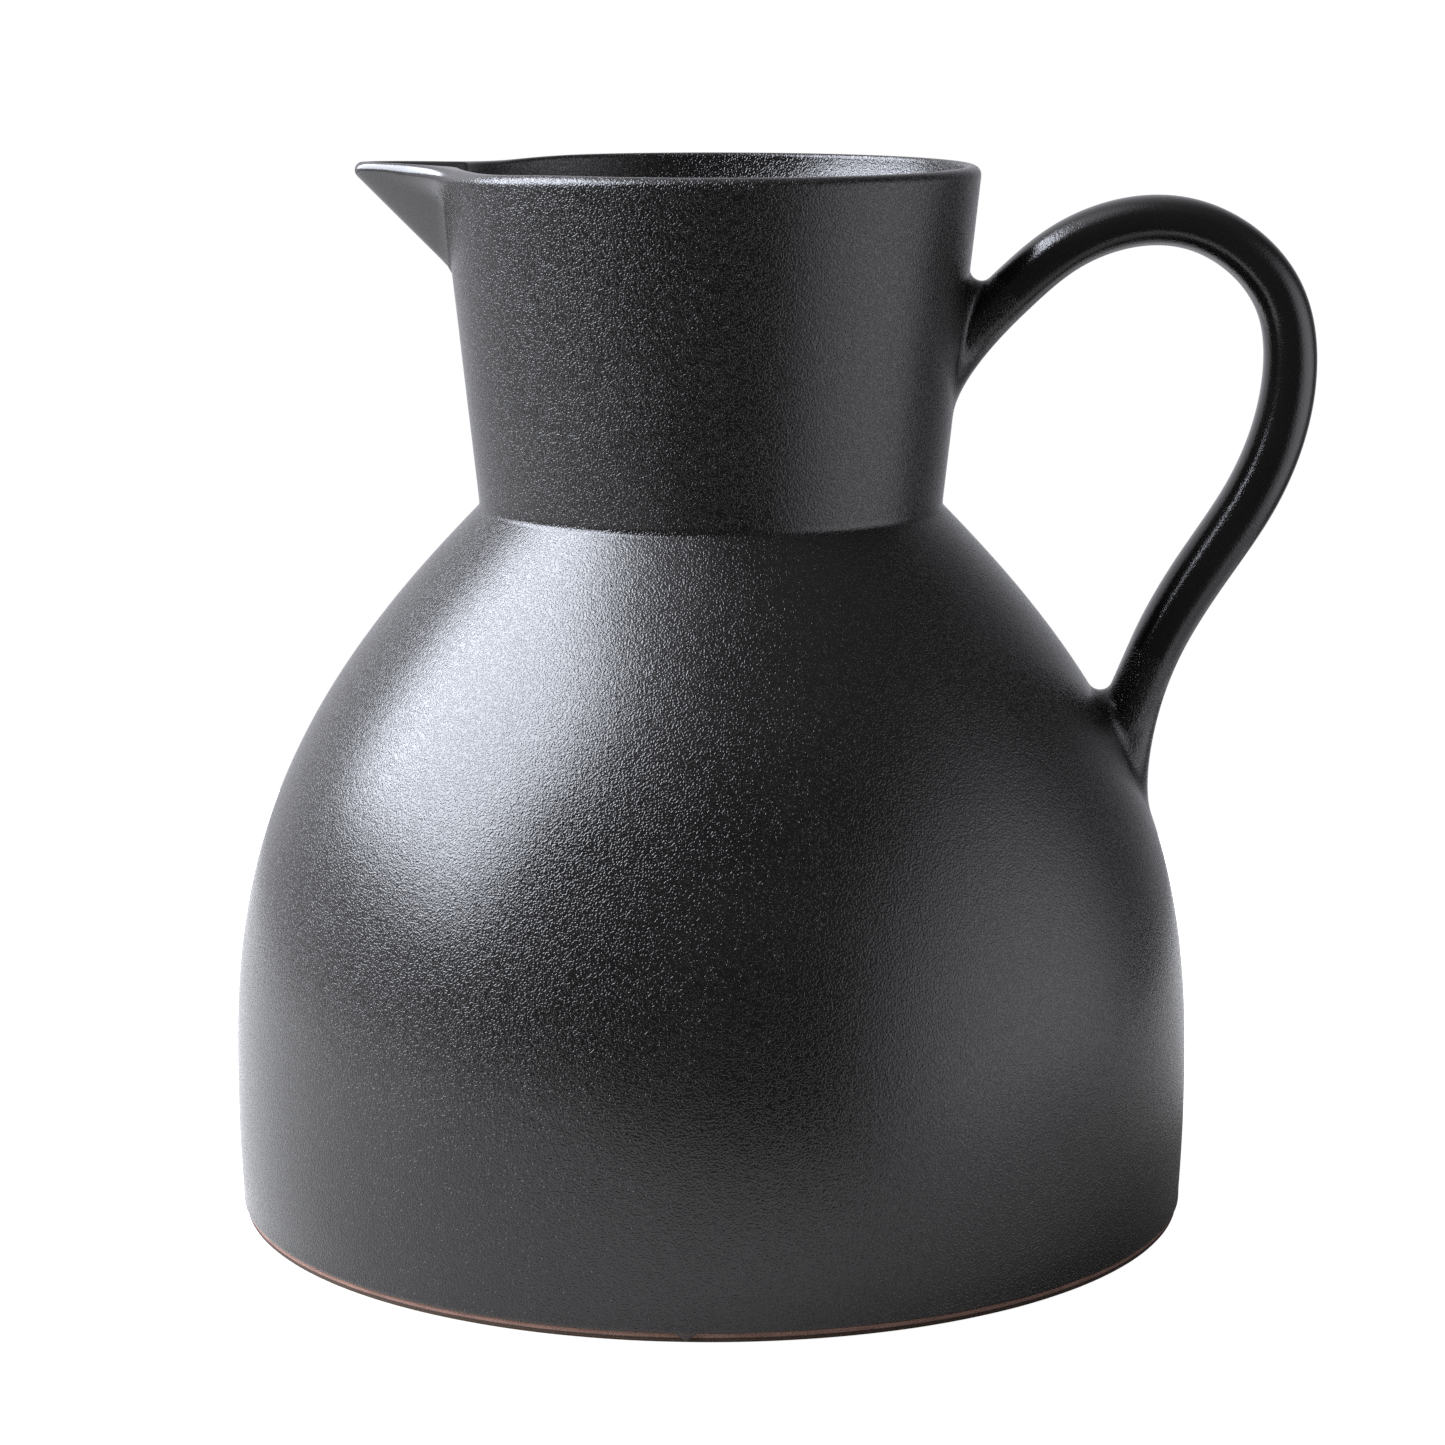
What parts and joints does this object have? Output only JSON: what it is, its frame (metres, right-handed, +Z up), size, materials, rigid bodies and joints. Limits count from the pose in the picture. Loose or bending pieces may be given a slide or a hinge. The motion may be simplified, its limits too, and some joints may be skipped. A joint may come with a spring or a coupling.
{
  "type": "ceramic pitcher",
  "caption": "Black glazed stoneware pitcher: domed body, flared neck, pointed pouring beak and tall loop handle.",
  "frame": {"origin": "on the vessel's axis, in the plane of the table under the foot ring", "axes": "+Z up along the vessel's axis, -X towards the pouring beak, +X towards the handle; the part is symmetric about the XZ plane"},
  "size_m": [0.2739, 0.2438, 0.265],
  "materials": {
    "black_glaze": "satin-matt black glaze with a fine orange-peel grain",
    "raw_clay": "unglazed, lightly gritty pinkish-brown stoneware"
  },
  "bodies": {
    "root": {"foot_ring": "raw_clay", "floor_slab": "black_glaze", "body_dome": "black_glaze", "seam_coil": "black_glaze", "neck_collar": "black_glaze", "pouring_spout": "black_glaze", "upper_joint": "black_glaze", "handle_loop": "black_glaze", "lower_joint": "black_glaze"}
  },
  "joints": []
}
